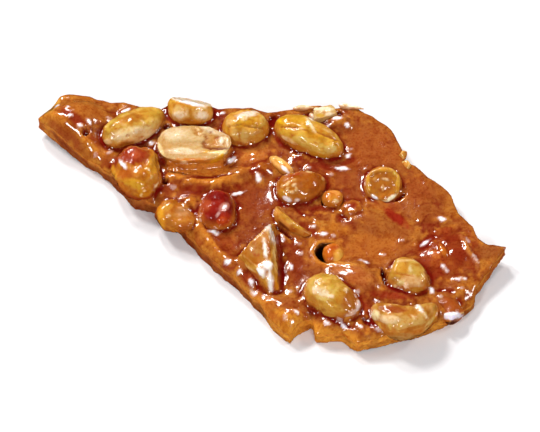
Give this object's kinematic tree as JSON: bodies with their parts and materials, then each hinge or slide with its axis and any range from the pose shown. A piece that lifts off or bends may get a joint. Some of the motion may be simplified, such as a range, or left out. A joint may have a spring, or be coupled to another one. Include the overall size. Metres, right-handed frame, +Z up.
{
  "type": "nut brittle piece",
  "caption": "Broken piece of nut brittle: an irregular flat sheet of set caramel with roasted nut kernels, whole, split and broken, standing out of its glossy top.",
  "frame": {"origin": "centre of the bounding box's footprint, at the height of the flat underside that was poured on the slab", "axes": "+X along the piece towards its sharp tip, +Z up out of the glossy, nutty top; the underside rests on Z = 0"},
  "size_m": [0.0996, 0.064, 0.0096],
  "materials": {
    "caramel_sheet": "glossy set caramel",
    "kernel_tan": "roasted peanut kernel with a film of caramel",
    "kernel_rim_half": "roasted peanut kernel with a film of caramel",
    "kernel_pale_half": "roasted peanut kernel with a film of caramel",
    "kernel_furrowed": "roasted peanut kernel with a film of caramel",
    "kernel_long": "roasted peanut kernel with a film of caramel",
    "kernel_red_skin": "roasted peanut kernel with a film of caramel",
    "kernel_red_round": "roasted peanut kernel with a film of caramel",
    "kernel_overhang": "roasted peanut kernel with a film of caramel",
    "kernel_mid": "roasted peanut kernel with a film of caramel",
    "kernel_crescent": "roasted peanut kernel with a film of caramel",
    "kernel_shard": "roasted peanut kernel with a film of caramel",
    "kernel_upright": "roasted peanut kernel with a film of caramel",
    "kernel_cream": "roasted peanut kernel with a film of caramel",
    "kernel_block": "roasted peanut kernel with a film of caramel",
    "kernel_bean": "roasted peanut kernel with a film of caramel",
    "kernel_rim_chunk": "roasted peanut kernel with a film of caramel",
    "kernel_rim_broken": "roasted peanut kernel with a film of caramel"
  },
  "bodies": {
    "root": {"caramel_sheet": "caramel_sheet", "kernel_tan": "kernel_tan", "kernel_rim_half": "kernel_rim_half", "kernel_pale_half": "kernel_pale_half", "kernel_furrowed": "kernel_furrowed", "kernel_long": "kernel_long", "kernel_red_skin": "kernel_red_skin", "kernel_red_round": "kernel_red_round", "kernel_overhang": "kernel_overhang", "kernel_mid": "kernel_mid", "kernel_crescent": "kernel_crescent", "kernel_shard": "kernel_shard", "kernel_upright": "kernel_upright", "kernel_cream": "kernel_cream", "kernel_block": "kernel_block", "kernel_bean": "kernel_bean", "kernel_rim_chunk": "kernel_rim_chunk", "kernel_rim_broken": "kernel_rim_broken"}
  },
  "joints": []
}
